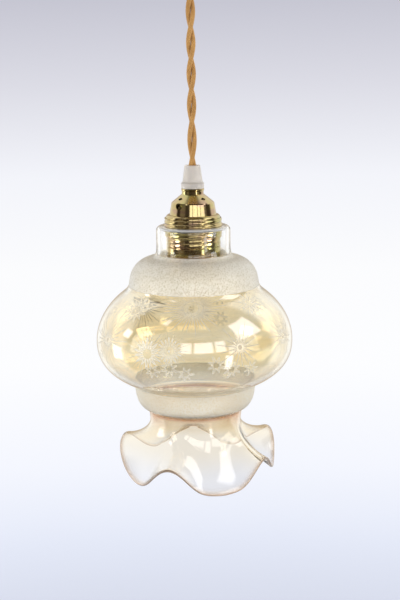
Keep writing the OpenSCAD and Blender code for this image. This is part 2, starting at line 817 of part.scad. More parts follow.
function fold_before(a, i = 0) = a < fold_at(i + 1)[0] ? i : fold_before(a, i + 1);

// Reach and drop of the rim at an angle, eased from fold to fold
function rim(a) =
    let (
        i = fold_before(a), f = fold_at(i), g = fold_at(i + 1),
        w = (1 - cos(180*(a - f[0])/(g[0] - f[0])))/2
    )
    [f[1] + (g[1] - f[1])*w, f[2] + (g[2] - f[2])*w];

// Control points of the skirt's section at an angle, as radius and drop below the waist band
function skirt_curve(a) =
    let (
        end = rim(a), lift = max(0, (valley_drop - end[1])/(valley_drop - crest_drop)),
        top_r = waist_r - glass_wall/2
    )
    [
        [top_r, 0], [top_r - 3.7, 12],
        [top_r + 2.5 + 0.3*lift*(end[0] - top_r), 16 + 0.45*(end[1] - 24) + 6*lift],
        [end[0], end[1] - waist_h]
    ];

// Section of the skirt at an angle, a closed outline as radius and drop
function skirt_section(a, rows) =
    let (
        p = skirt_curve(a),
        mid = [for (j = [0:rows]) curve(p, j/rows)],
        run = [for (j = [0:rows]) unit(j == 0 ? [0, 1] : mid[min(j + 1, rows)] - mid[j - 1])],
        half = skirt_wall/2,
        side = [for (j = [0:rows]) half*[run[j][1], -run[j][0]]],
        top = [p[0][0], -waist_h*0.7]
    )
    concat(
        [top + [half, 0]], [for (j = [0:rows]) mid[j] + side[j]],
        [mid[rows] + 0.8*half*run[rows]],
        [for (j = [rows:-1:0]) mid[j] - side[j]], [top - [half, 0]]
    );

module glass_skirt() {
    rows = 8;
    first = folds[0][0];
    sections = [for (i = [0:skirt_steps - 1]) skirt_section(first + i*360/skirt_steps, rows)];
    n = len(sections[0]);
    points = [
        for (i = [0:skirt_steps - 1], p = sections[i])
            let (a = first + i*360/skirt_steps)
                [p[0]*sin(a), -p[0]*cos(a), crease_z - waist_h - p[1]]
    ];
    faces = [
        for (i = [0:skirt_steps - 1], k = [0:n - 1])
            let (j = (i + 1) % skirt_steps, m = (k + 1) % n) [i*n + k, j*n + k, j*n + m, i*n + m]
    ];
    polyhedron(points, faces);
}

module glass_shade() {
    color("wheat", 0.5) union() {
        glass_bulb();
        glass_skirt();
    }
}

ceiling_bracket();
ceiling_rose();
rose_screws();
terminal_block();
block_screw();
terminal_sleeves();
terminal_screws();
rose_cores();
rose_lock_nut();
rose_lock_washer();
rose_grip_body();
rose_grip_cone();
flex_in_rose();
flex_bend();
flex_cord();
lamp_grip_cone();
lamp_grip_body();
holder_cap();
holder_cores();
terminal_posts();
post_screws();
side_contact();
socket_base();
contact_leaf();
leaf_rivet();
screw_shell();
shell_screws();
socket_liner();
holder_shell();
upper_ring();
lower_ring();
glass_shade();
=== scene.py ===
import math

import bmesh
import bpy
import numpy as np
from mathutils import Matrix, Vector


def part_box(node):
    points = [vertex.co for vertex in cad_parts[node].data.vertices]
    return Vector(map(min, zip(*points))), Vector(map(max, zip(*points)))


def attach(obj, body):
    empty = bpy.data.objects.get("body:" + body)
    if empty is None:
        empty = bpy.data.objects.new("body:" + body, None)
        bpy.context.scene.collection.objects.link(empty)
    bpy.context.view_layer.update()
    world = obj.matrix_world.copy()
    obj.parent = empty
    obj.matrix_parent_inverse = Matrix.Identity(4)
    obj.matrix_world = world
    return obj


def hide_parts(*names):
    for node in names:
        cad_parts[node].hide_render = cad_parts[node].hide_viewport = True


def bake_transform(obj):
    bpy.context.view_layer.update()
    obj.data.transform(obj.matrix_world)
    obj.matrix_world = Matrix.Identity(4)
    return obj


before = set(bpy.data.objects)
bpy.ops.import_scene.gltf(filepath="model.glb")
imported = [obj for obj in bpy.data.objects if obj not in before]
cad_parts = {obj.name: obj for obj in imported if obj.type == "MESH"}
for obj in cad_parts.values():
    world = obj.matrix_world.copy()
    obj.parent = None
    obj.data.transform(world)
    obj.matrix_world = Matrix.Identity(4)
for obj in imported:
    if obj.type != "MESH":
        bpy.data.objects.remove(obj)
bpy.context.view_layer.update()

MM = 0.001
TAU = 2 * math.pi


def top_of(node):
    """Level of a CAD node's top, in millimetres."""
    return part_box(node)[1].z / MM


def bottom_of(node):
    """Level of a CAD node's bottom, in millimetres."""
    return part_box(node)[0].z / MM


def width_of(node):
    """Width of a CAD node along X, in millimetres."""
    low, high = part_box(node)
    return (high.x - low.x) / MM


# ---- camera ----


def make_camera():
    """The camera, a little above the shade and tilted by a hair."""
    distance, pitch, roll = 850 * MM, math.radians(11.9), math.radians(0.69)
    aim = Vector((4.3, 0, -275.2)) * MM
    back = Vector((0, -math.cos(pitch), math.sin(pitch)))
    data = bpy.data.cameras.new("camera")
    data.lens = 69.6
    data.clip_end = 50
    camera = bpy.data.objects.new("camera", data)
    camera.rotation_mode = "QUATERNION"
    camera.location = aim + back * distance
    turn = Matrix.Rotation(-roll, 3, back)
    camera.rotation_quaternion = (turn @ (-back).to_track_quat("-Z", "Y").to_matrix()).to_quaternion()
    bpy.context.scene.collection.objects.link(camera)
    bpy.context.scene.camera = camera


make_camera()

# ---- meshes ----


def outward(mesh):
    """Turns a closed mesh's faces outwards."""
    work = bmesh.new()
    work.from_mesh(mesh)
    if work.calc_volume(signed=True) < 0:
        bmesh.ops.reverse_faces(work, faces=work.faces)
        work.to_mesh(mesh)
    work.free()
    mesh.update()


def new_piece(name, points, faces, material, body, uvs=None):
    """A smooth mesh piece in metres, from points in millimetres; it rides on body, if that isn't None."""
    mesh = bpy.data.meshes.new(name)
    mesh.from_pydata([tuple(c * MM for c in p) for p in points], [], faces)
    mesh.polygons.foreach_set("use_smooth", [True] * len(mesh.polygons))
    if uvs is not None:
        layer = mesh.uv_layers.new(name="along")
        layer.data.foreach_set("uv", [c for uv in uvs for c in uv])
    outward(mesh)
    piece = bpy.data.objects.new(name, mesh)
    bpy.context.scene.collection.objects.link(piece)
    mesh.materials.append(material)
    if body:
        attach(piece, body)
    return piece


def grid_faces(columns, rows):
    """Quads of a grid that closes on itself both ways, with its points column by column."""
    faces = []
    for i in range(columns):
        j = (i + 1) % columns
        for k in range(rows):
            m = (k + 1) % rows
            faces.append((i * rows + k, j * rows + k, j * rows + m, i * rows + m))
    return faces


def arc(x, z, a, b, t0, t1, n, e=2.0):
    """Points of an elliptic arc about (x, z); e above 2 is squarer."""
    points = []
    for i in range(n + 1):
        t = math.radians(t0 + (t1 - t0) * i / n)
        across, up = math.cos(t), math.sin(t)
        points.append((
            x + a * math.copysign(abs(across) ** (2 / e), across),
            z + b * math.copysign(abs(up) ** (2 / e), up),
        ))
    return points


def rounded(outline, radius, n=3):
    """A closed outline with each corner cut by a short curve."""
    result = []
    for i, corner in enumerate(outline):
        corner = Vector(corner)
        before = Vector(outline[i - 1]) - corner
        after = Vector(outline[(i + 1) % len(outline)]) - corner
        cut = min(radius, before.length * 0.45, after.length * 0.45)
        if before.angle(after) > math.radians(165):
            result.append(tuple(corner))
            continue
        start = corner + before.normalized() * cut
        end = corner + after.normalized() * cut
        for k in range(n + 1):
            t = k / n
            result.append(tuple(start * (1 - t) ** 2 + corner * 2 * t * (1 - t) + end * t ** 2))
    return result


def split_long(outline, step):
    """A closed outline with extra points, so that none of its sides is longer than step."""
    result = []
    for i, p in enumerate(outline):
        p, q = Vector(p), Vector(outline[(i + 1) % len(outline)])
        n = max(1, math.ceil((q - p).length / step))
        result += [tuple(p.lerp(q, k / n)) for k in range(n)]
    return result


def lathe(name, outline, material, body, steps=128, shape=None):
    """A closed outline of (radius, z) turned about Z; shape(r, z, turn) may move a point."""
    rows = len(outline)
    points = []
    for i in range(steps):
        turn = i / steps
        for r, z in outline:
            if shape:
                r, z = shape(r, z, turn)
            points.append((r * math.sin(TAU * turn), -r * math.cos(TAU * turn), z))
    return new_piece(name, points, grid_faces(steps, rows), material, body)


# ---- materials ----


class Nodes:
    """A node tree, with short calls for the nodes used below; easing is how remap passes between levels."""

    def __init__(self, tree, easing):
        self.tree, self.easing = tree, easing
        tree.nodes.clear()

    def add(self, kind, *values, **settings):
        """A new node, with values for its first inputs."""
        node = self.tree.nodes.new(kind)
        for key, value in settings.items():
            setattr(node, key, value)
        for value, socket in zip(values, node.inputs):
            self.put(value, socket)
        return node

    def put(self, value, socket):
        """Links another node's output to a socket, or gives the socket a fixed value."""
        if isinstance(value, bpy.types.NodeSocket):
            self.tree.links.new(value, socket)
        else:
            socket.default_value = value

    def math(self, operation, *values):
        return self.add("ShaderNodeMath", *values, operation=operation).outputs[0]

    def plus(self, first, second):
        return self.math("ADD", first, second)

    def minus(self, first, second):
        return self.math("SUBTRACT", first, second)

    def times(self, first, *others):
        for other in others:
            first = self.math("MULTIPLY", first, other)
        return first

    def ratio(self, first, second):
        return self.math("DIVIDE", first, second)

    def most(self, first, *others):
        for other in others:
            first = self.math("MAXIMUM", first, other)
        return first

    def vector(self, operation, *values):
        node = self.add("ShaderNodeVectorMath", *values, operation=operation)
        return node.outputs["Value" if operation in ("DISTANCE", "LENGTH") else "Vector"]

    def parts(self, where):
        """The X, Y and Z of a vector."""
        return self.add("ShaderNodeSeparateXYZ", where).outputs

    def remap(self, value, low, high, to_low=0.0, to_high=1.0):
        """to_low where the value is at low, to_high where it is at high, and held beyond them."""
        node = self.add(
            "ShaderNodeMapRange", value, low, high, to_low, to_high, interpolation_type=self.easing)
        return node.outputs[0]

    def band(self, value, start, full, ending, end, unit=1.0):
        """1 between two levels: it rises from start to full and falls from ending to end."""
        risen = self.remap(value, start * unit, full * unit)
        return self.times(risen, self.remap(value, ending * unit, end * unit, 1, 0))

    def mix(self, share, first, second):
        """A colour between two."""
        node = self.add("ShaderNodeMix", data_type="RGBA")
        for value, index in ((share, 0), (first, 6), (second, 7)):
            self.put(value, node.inputs[index])
        return node.outputs[2]

    def pick(self, share, first, second):
        """A vector between two."""
        node = self.add("ShaderNodeMix", data_type="VECTOR")
        for value, index in ((share, 0), (first, 4), (second, 5)):
            self.put(value, node.inputs[index])
        return node.outputs[1]

    def ramp(self, source, stops):
        """Colours along a value from 0 to 1."""
        node = self.add("ShaderNodeValToRGB", source)
        elements = node.color_ramp.elements
        while len(elements) < len(stops):
            elements.new(0.5)
        for element, (place, colour) in zip(elements, stops):
            element.position, element.color = place, colour
        return node.outputs[0]


class Shader(Nodes):
    """A material with a Principled shader."""

    def __init__(self, name):
        self.material = bpy.data.materials.new(name)
        self.material.use_nodes = True
        super().__init__(self.material.node_tree, "SMOOTHSTEP")
        self.bsdf = self.add("ShaderNodeBsdfPrincipled")
        self.add("ShaderNodeOutputMaterial", self.bsdf.outputs[0])
        self.place = self.add("ShaderNodeTexCoord").outputs["Object"]

    def set(self, **values):
        """Sets or links the Principled shader's inputs, with _ for a space in their names."""
        for key, value in values.items():
            self.put(value, self.bsdf.inputs[key.replace("_", " ")])

    def stretch(self, where, x, y, z):
        """A place with each of its axes scaled."""
        return self.vector("MULTIPLY", where, (x, y, z))

    def noise(self, where, scale, detail=2.0, roughness=0.5):
        """Clouds, mostly between 0.3 and 0.7."""
        node = self.add("ShaderNodeTexNoise")
        self.put(where, node.inputs["Vector"])
        node.inputs["Scale"].default_value = scale
        node.inputs["Detail"].default_value = detail
        node.inputs["Roughness"].default_value = roughness
        return node.outputs[0]

    def cells(self, where, scale):
        """How far each point is from the nearest of many scattered ones."""
        node = self.add("ShaderNodeTexVoronoi")
        self.put(where, node.inputs["Vector"])
        node.inputs["Scale"].default_value = scale
        return node.outputs["Distance"]

    def bump(self, height, depth, strength):
        """Small relief of the surface, depth metres high."""
        node = self.add("ShaderNodeBump")
        node.inputs["Distance"].default_value = depth
        node.inputs["Strength"].default_value = strength
        self.put(height, node.inputs["Height"])
        self.put(node.outputs[0], self.bsdf.inputs["Normal"])


def rgb(r, g, b):
    return (r, g, b, 1.0)


def brass_material(name, bright, dull, gloss, dirt):
    """Brass with a drawn grain round the axis, a rosy and greenish bloom and tarnish in patches."""
    s = Shader(name)
    cloud = s.noise(s.place, 90, 3.0)
    bloom = s.noise(s.stretch(s.place, 1, 1, 2.5), 55, 2.0)
    bright = s.mix(s.remap(bloom, 0.50, 0.66, 0.0, 0.8), bright, rgb(0.56, 0.38, 0.28))
    bright = s.mix(s.remap(bloom, 0.46, 0.34, 0.0, 0.6), bright, rgb(0.50, 0.51, 0.21))
    grain = s.noise(s.stretch(s.place, 60, 60, 4000), 1.0, 2.0)
    spots = s.remap(s.noise(s.place, 420, 4.0, 0.6), 0.60, 0.74)
    worn = s.times(spots, dirt)
    s.set(
        Base_Color=s.mix(s.most(s.times(cloud, 0.4), worn), bright, dull),
        Metallic=1.0,
        Roughness=s.plus(s.remap(grain, 0.3, 0.7, gloss, gloss * 1.6), s.times(worn, 0.25)),
    )
    s.bump(grain, 0.02 * MM, 0.35)
    return s.material


def steel_material():
    """Zinc-plated steel with a soft spangle."""
    s = Shader("zinc_steel")
    spangle = s.cells(s.place, 700)
    cloud = s.noise(s.place, 160, 3.0)
    s.set(
        Base_Color=s.mix(s.remap(cloud, 0.35, 0.65), rgb(0.50, 0.52, 0.55), rgb(0.66, 0.67, 0.68)),
        Metallic=1.0,
        Roughness=s.remap(spangle, 0.1, 0.7, 0.22, 0.38),
    )
    s.bump(cloud, 0.04 * MM, 0.3)
    return s.material


def nylon_material(name, colour, through, milk):
    """Moulded nylon: milky, slightly uneven, with a soft skin."""
    s = Shader(name)
    cloud = s.noise(s.place, 140, 3.0)
    skin = s.noise(s.place, 2600, 2.0)
    darker = rgb(*(0.93 * c for c in colour[:3]))
    s.set(
        Base_Color=s.mix(s.remap(cloud, 0.3, 0.7), colour, darker),
        Roughness=s.remap(skin, 0.3, 0.7, 0.30, 0.42),
        Subsurface_Weight=milk,
        Subsurface_Radius=(0.004, 0.004, 0.005),
        Subsurface_Scale=0.6,
        Transmission_Weight=through,
        IOR=1.5,
    )
    s.bump(skin, 0.03 * MM, 0.25)
    return s.material


def porcelain_material():
    """White glazed porcelain with a few pin marks."""
    s = Shader("porcelain")
    cloud = s.noise(s.place, 110, 2.0)
    pins = s.remap(s.cells(s.place, 380), 0.02, 0.09)
    glaze = s.mix(cloud, rgb(0.86, 0.85, 0.80), rgb(0.91, 0.90, 0.87))
    s.set(
        Base_Color=s.mix(pins, rgb(0.62, 0.58, 0.50), glaze),
        Roughness=s.remap(cloud, 0.3, 0.7, 0.14, 0.24),
        Coat_Weight=0.5,
    )
    s.bump(s.plus(cloud, pins), 0.05 * MM, 0.3)
    return s.material


def textile_material(name, light, dark, carriers, picks):
    """A braid laid over a core: threads run both ways round the UV map's u and along its v."""
    s = Shader(name)
    uv = s.add("ShaderNodeTexCoord").outputs["UV"]
    u, v, _ = s.parts(uv)
    turn = s.times(u, carriers * TAU)
    along = s.times(v, picks * TAU)
    one = s.math("SINE", s.plus(turn, along))
    other = s.math("SINE", s.minus(turn, along))
    one_is_over = s.math("GREATER_THAN", s.times(s.math("SINE", turn), s.math("SINE", along)), 0.0)
    height = s.plus(s.times(one, one_is_over), s.times(other, s.minus(1.0, one_is_over)))
    lift = s.remap(height, -0.9, 0.8)
    fibres = s.noise(s.stretch(uv, carriers * 9, picks * 9, 1), 1.0, 2.0)
    patch = s.noise(s.place, 130, 2.0)
    # Painted shade and highlight: the weave is coloured darker in the gaps between its threads and lighter
    # where they ride over
    weave_with_painted_shade = s.mix(s.times(lift, s.remap(fibres, 0.2, 0.8, 0.7, 1.0)), dark, light)
    s.set(
        Base_Color=s.mix(s.remap(patch, 0.35, 0.7, 0.0, 0.35), weave_with_painted_shade, dark),
        Roughness=s.remap(fibres, 0.3, 0.7, 0.55, 0.8),
        Sheen_Weight=0.35,
        Sheen_Roughness=0.45,
        Sheen_Tint=rgb(1.0, 0.82, 0.52),
    )
    s.bump(s.plus(lift, s.times(fibres, 0.25)), 0.18 * MM, 0.8)
    return s.material


polished_brass = brass_material("polished_brass", rgb(0.63, 0.51, 0.25), rgb(0.28, 0.18, 0.09), 0.09, 0.7)
plain_brass = brass_material("plain_brass", rgb(0.82, 0.64, 0.32), rgb(0.60, 0.44, 0.20), 0.24, 0.7)
zinc_steel = steel_material()
milky_nylon = nylon_material("milky_nylon", rgb(0.86, 0.80, 0.73), 0.45, 0.3)
white_nylon = nylon_material("white_nylon", rgb(0.88, 0.88, 0.85), 0.0, 0.2)
porcelain = porcelain_material()
gold_textile = textile_material("gold_textile", rgb(0.86, 0.50, 0.17), rgb(0.33, 0.14, 0.025), 10, 1150)
core_sleeving = textile_material("core_sleeving", rgb(0.74, 0.52, 0.24), rgb(0.34, 0.20, 0.07), 8, 900)

for node, material in {
    "ceiling_bracket": zinc_steel, "terminal_block": white_nylon, "block_screw": zinc_steel,
    "terminal_sleeves": plain_brass, "terminal_screws": zinc_steel, "rose_lock_nut": plain_brass,
    "rose_lock_washer": zinc_steel, "rose_grip_body": milky_nylon, "rose_grip_cone": milky_nylon,
    "lamp_grip_cone": milky_nylon, "lamp_grip_body": milky_nylon, "holder_cap": polished_brass,
    "terminal_posts": plain_brass, "post_screws": zinc_steel, "side_contact": plain_brass,
    "socket_base": porcelain, "contact_leaf": plain_brass, "leaf_rivet": plain_brass,
    "screw_shell": plain_brass, "shell_screws": zinc_steel, "socket_liner": porcelain,
    "ceiling_rose": polished_brass, "rose_screws": polished_brass, "rose_cores": core_sleeving,
    "holder_cores": core_sleeving, "holder_shell": polished_brass, "upper_ring": polished_brass,
    "lower_ring": polished_brass,
}.items():
    for material_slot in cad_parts[node].material_slots:
        material_slot.material = material

# ---- flex ----

bend_z, strand_d = -50.5, 3.3
flex_d = width_of("flex_cord")
# Levels at which one strand lies squarely in front of the other, from the ceiling down
crossings = [-15.5, -37.2, -58.9, -80.4, -101.9, -123.0, -145.7, -171.2, -197.2]


def twist_at(z):
    """Turns of the strands about the flex's axis at a level, half a turn from one crossing to the next."""
    return 0.5 * float(np.interp(-z, [-c for c in crossings], range(len(crossings))))


def strand(top, bottom, side):
    """Points, faces and UVs of one strand from a level down to another."""
    around, row_step, nudge, reach = 16, 0.6, 0.1, (flex_d - strand_d) / 2
    rows = max(2, round((top - bottom) / row_step))
    points, faces, uvs = [], [], []

    def centre(z):
        turn = -TAU * (twist_at(z) + side)
        return Vector((reach * math.sin(turn), -reach * math.cos(turn), z))

    for k in range(rows + 1):
        z = top + (bottom - top) * k / rows
        ahead = (centre(z - nudge) - centre(z + nudge)).normalized()
        across = ahead.cross(Vector((0, 0, 1)).cross(centre(z))).normalized()
        other = ahead.cross(across)
        for i in range(around):
            a = TAU * i / around
            points.append(centre(z) + (across * math.cos(a) + other * math.sin(a)) * strand_d / 2)
    for k in range(rows):
        low, high = (top - bottom) * k / rows * MM, (top - bottom) * (k + 1) / rows * MM
        for i in range(around):
            j = (i + 1) % around
            faces.append((k * around + i, k * around + j, (k + 1) * around + j, (k + 1) * around + i))
            uvs += [(i / around, low), ((i + 1) / around, low), ((i + 1) / around, high), (i / around, high)]
    faces.append(tuple(range(around - 1, -1, -1)))
    faces.append(tuple(rows * around + i for i in range(around)))
    uvs += [(0, 0)] * (2 * around)
    return points, faces, uvs


def twisted_pair(name, top, bottom):
    """Two strands wound round each other between two levels."""
    points, faces, uvs = [], [], []
    for side in (0.0, 0.5):
        p, f, t = strand(top, bottom, side)
        faces += [tuple(i + len(points) for i in face) for face in f]
        points += p
        uvs += t
    return new_piece(name, points, faces, gold_textile, None, uvs)


flex = twisted_pair("twisted_flex", bend_z, bottom_of("flex_cord"))
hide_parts("flex_cord", "flex_bend")
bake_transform(flex)
stub = twisted_pair("flex_stub", top_of("flex_in_rose"), bend_z)
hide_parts("flex_in_rose")
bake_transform(stub)

# ---- threaded brass ----


def thread(pitch, depth, low, high, start=0.0):
    """A shape for lathe: rounded ribs cut helically into the outside between two levels."""
    run_out, fullness = 1.2, 0.6

    def shape(r, z, turn):
        fade = min(1.0, max(0.0, (z - low) / run_out)) * min(1.0, max(0.0, (high - z) / run_out))
        wave = abs(math.sin(math.pi * ((z / pitch) - turn + start)))
        return r - depth * fade * (1 - wave ** fullness), z

    return shape


def outside_only(shape, inner_r):
    """A shape that leaves the wall's inside alone."""
    return lambda r, z, turn: shape(r, z, turn) if r > inner_r else (r, z)


shell_low, shell_top = bottom_of("holder_shell"), top_of("holder_shell")
shell_r = width_of("holder_shell") / 2
brass_wall, shell_thread_depth = 0.8, 0.5
neck_r, shoulder_round, foot_round, mouth_r = 15.2, 2.4, 0.8, 17
groove_depth, groove_h, groove_bevel = 0.9, 1.3, 0.4
shoulder_z, groove_z = shell_top - 5, shell_low + 17.8
shell_in_r = shell_r - shell_thread_depth - brass_wall
round_in = shoulder_round - brass_wall
shell_outline = (
    [(neck_r - brass_wall, shell_top), (neck_r, shell_top), (neck_r, shoulder_z)]
    + arc(shell_r - shoulder_round, shoulder_z - shoulder_round, shoulder_round, shoulder_round, 90, 0, 8)
    + [(shell_r, groove_z), (shell_r - groove_depth, groove_z - groove_bevel)]
    + [(shell_r - groove_depth, groove_z - groove_h + groove_bevel), (shell_r, groove_z - groove_h)]
    + arc(shell_r - foot_round, shell_low + foot_round, foot_round, -foot_round, 0, 90, 5)
    + [(mouth_r, shell_low), (mouth_r, shell_low + brass_wall), (shell_in_r, shell_low + brass_wall)]
    + arc(shell_in_r - round_in, shoulder_z - shoulder_round, round_in, round_in, 0, 90, 6)
    + [(neck_r - brass_wall, shoulder_z - brass_wall)]
)
shell_thread = thread(3.0, shell_thread_depth, groove_z + 0.2, shoulder_z - 2.2)
shell = lathe(
    "threaded_shell", split_long(rounded(shell_outline, 0.15), 0.35), polished_brass,
    "lampholder", 144, outside_only(shell_thread, shell_r - 0.45))
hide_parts("holder_shell")


def shade_ring(name, node, body, flange_up):
    """A pressed brass ring with a helical rib outside and a bearing flange at one end."""
    gap, flange_reach, flange_t, flange_slope, pitch, rib_depth = 0.1, 0.5, 0.8, 0.3, 2.9, 0.75
    low, high = bottom_of(node), top_of(node)
    flange_r = width_of(node) / 2
    inner_r, outer_r = shell_r + gap, flange_r - flange_reach
    height = high - low
    outline = [
        (inner_r, 0), (flange_r, 0), (flange_r, flange_t), (outer_r, flange_t + flange_slope),
        (outer_r, height), (inner_r, height),
    ]
    if flange_up:
        outline = [(r, high - z) for r, z in outline][::-1]
        ribs = thread(pitch, rib_depth, low - 0.6, high - 1.0, 0.3)
    else:
        outline = [(r, low + z) for r, z in outline]
        ribs = thread(pitch, rib_depth, low + 1.0, high + 0.6, 0.1)
    ring = lathe(
        name, split_long(rounded(outline, 0.2), 0.25), polished_brass, body, 160,
        outside_only(ribs, inner_r + 0.3))
    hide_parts(node)


shade_ring("upper_shade_ring", "upper_ring", "upper_ring", False)
shade_ring("lower_shade_ring", "lower_ring", "lower_ring", True)

# ---- glass shade ----

wall, skirt_wall = 2.6, 2.2
lip_z, lip_t, glass_bore_r = top_of("glass_shade"), 2.2, 20.05
collar_r, collar_h, collar_round = 26.8, 22.5, 3.0
shoulder_r, shoulder_h = 47.3, 21.0
body_r, body_up, body_low, body_step = width_of("glass_shade") / 2, 40.5, 31.3, 1.2
bowl_r, bowl_h, waist_r, waist_h = 44.7, 19.7, 34.5, 4.0
# How square the shoulder, the body's underside and the bowl are; 2 is an ellipse
shoulder_square, body_square, bowl_square = 2.3, 2.3, 2.4
collar_foot = lip_z - collar_h
shoulder_level = collar_foot - shoulder_h
body_level = shoulder_level - body_up
bowl_level = body_level - body_low
crease = bowl_level - bowl_h
crest_reach, valley_reach, crest_drop, valley_drop = 57.0, 53.0, 28.0, 50.0
# Folds of the rim: angle from the front, 1 for a crest or 0 for a valley, and what this fold's reach
# and drop add to those of its kind
folds = [
    (-112, 1, 0.5, 0), (-49, 0, -0.5, 0), (-19, 1, 0, 3), (6, 0, 1, 0), (37, 0, 0.5, 0.5),
    (61, 1, 0, 3.5), (82, 0, 4, -3), (114, 1, 4, -3), (153, 0, 1, -3), (183, 1, 0, 2),
    (214, 0, 1, -3), (248, 1, 0.5, 0),
]
# The front lobe hangs a little fuller than its folds say
lobe_angle, lobe_width, lobe_sag = 21.0, 9.0, 1.3


def bulb_outline(inset):
    """Half outline of the glass from the collar to the crease; inset by the wall for its inside."""
    up_turn = math.degrees(math.acos((shoulder_r + body_step) / body_r))
    up_b = (body_up - 2 * body_step) / math.sin(math.radians(up_turn))
    low_turn = math.degrees(math.acos(((bowl_r + body_step) / body_r) ** (body_square / 2)))
    low_b = body_low / math.sin(math.radians(low_turn)) ** (2 / body_square)
    shoulder_reach, waist_reach = shoulder_r - collar_r, bowl_r - waist_r
    underside = arc(0, body_level, body_r - inset, inset - low_b, 0, low_turn, 24, body_square)
    return (
        arc(collar_r - inset, shoulder_level, shoulder_reach, shoulder_h - inset, 90, 0, 20, shoulder_square)
        + arc(0, body_level, body_r - inset, up_b - inset, up_turn, 0, 28)
        + [p for p in underside if p[1] < body_level]
        + arc(waist_r - inset, bowl_level, waist_reach, inset - bowl_h, 0, 90, 16, bowl_square)
    )


def fold_end(kind, more_reach, more_drop):
    """Reach and drop of a crest (1) or a valley (0)."""
    reach = valley_reach + (crest_reach - valley_reach) * kind + more_reach
    return reach, valley_drop + (crest_drop - valley_drop) * kind + more_drop


def rim(angle):
    """Reach and drop of the rim at an angle from the front, eased from fold to fold."""
    first = folds[0][0]
    angle = (angle - first) % 360 + first
    ends = folds + [(first + 360,) + folds[0][1:]]
    for here, after in zip(ends, ends[1:]):
        if here[0] <= angle <= after[0]:
            share = (1 - math.cos(math.pi * (angle - here[0]) / (after[0] - here[0]))) / 2
            a, b = fold_end(*here[1:]), fold_end(*after[1:])
            return a[0] + (b[0] - a[0]) * share, a[1] + (b[1] - a[1]) * share


def soft_rim(angle, spread=2.5):
    """The rim as it sags when hot: eased over its neighbours, spread degrees to each side and beyond."""
    total, reach, drop = 0.0, 0.0, 0.0
    for k in range(-4, 5):
        share = math.exp(-0.5 * (k / 2) ** 2)
        r, d = rim(angle + spread * k)
        total, reach, drop = total + share, reach + share * r, drop + share * d
    away = (angle - lobe_angle + 180) % 360 - 180
    return reach / total, drop / total + lobe_sag * math.exp(-0.5 * (away / lobe_width) ** 2)


def skirt_section(angle, rows=26):
    """Outer side, rim and inner side of the skirt at an angle, as (radius, z)."""
    reach, drop = soft_rim(angle)
    lift = max(0.0, (valley_drop - drop) / (valley_drop - crest_drop))
    top_r = waist_r - wall / 2
    # The neck draws in under the waist, and the skirt then swells outwards, more so under a crest
    neck_in, neck_down = 3.7, 12
    swell, swell_down = 2.5 + 0.3 * lift * (reach - top_r), 16 + 0.45 * (drop - 24) + 6 * lift
    ends = [
        Vector((top_r, 0)), Vector((top_r - neck_in, neck_down)),
        Vector((top_r + swell, swell_down)), Vector((reach, drop - waist_h)),
    ]
    middle, outer, inner, lip = [], [], [], []
    for k in range(rows + 1):
        t = k / rows
        shares = (1 - t) ** 3, 3 * (1 - t) ** 2 * t, 3 * (1 - t) * t * t, t ** 3
        middle.append(sum((p * share for p, share in zip(ends, shares)), Vector((0, 0))))
    for k, p in enumerate(middle):
        ahead = middle[min(k + 1, rows)] - middle[max(k - 1, 0)]
        ahead.normalize()
        aside = Vector((ahead.y, -ahead.x))
        half = (wall + (skirt_wall - wall) * min(1.0, k / 6)) / 2
        outer.append(p + aside * half)
        inner.append(p - aside * half)
    for k in range(1, 8):
        a = math.pi * (k / 8 - 0.5)
        lip.append(middle[-1] + (ahead * math.cos(a) - aside * math.sin(a)) * skirt_wall / 2)
    base = crease - waist_h
    return [[(p.x, base - p.y) for p in line] for line in (outer, lip, inner)]


def glass_column(angle):
    """The whole section of the shade at an angle, and the rows at which its rim starts and ends."""
    outer, lip, inner = skirt_section(angle)
    edge, fillet, half_waist = 0.5, 0.8, crease - waist_h * 0.5
    column = (
        arc(glass_bore_r + edge, lip_z - edge, edge, edge, 180, 90, 4)
        + arc(collar_r - collar_round, lip_z - collar_round, collar_round, collar_round, 90, 0, 8)
        + [(collar_r, lip_z - collar_round - (collar_h - collar_round) * k / 5) for k in range(1, 5)]
        + bulb_outline(0)
        + [(waist_r, half_waist)]
        + outer
    )
    rim_start = len(column)
    column += lip
    rim_end = len(column)
    column += (
        inner[::-1]
        + [(waist_r - wall, half_waist)]
        + bulb_outline(wall)[::-1]
        + [(collar_r - wall, collar_foot + (collar_h - lip_t) * k / 5) for k in range(1, 5)]
        + arc(collar_r - wall - fillet, lip_z - lip_t - fillet, fillet, fillet, 0, 90, 3)
        + arc(glass_bore_r + edge, lip_z - lip_t + edge, edge, -edge, 90, 180, 4)
    )
    return column, rim_start, rim_end


def smoothed(grid, rows, times):
    """The grid with some of its rows eased along each column, as blown glass flows."""
    for _ in range(times):
        eased = (np.roll(grid, 1, 1) + 2 * grid + np.roll(grid, -1, 1)) / 4
        grid[:, rows] = eased[:, rows]
    return grid


def uneven_radius(r, z, angles):
    """Radii of the body, which isn't quite round, as it is blown by hand."""
    belly_h, inwards, oval, waves = 30, 0.12, 0.10, 0.05
    belly = np.exp(-((z - body_level) / belly_h) ** 2)
    return r - belly * (inwards + oval * np.sin(2 * angles + 0.7) + waves * np.sin(5 * angles))


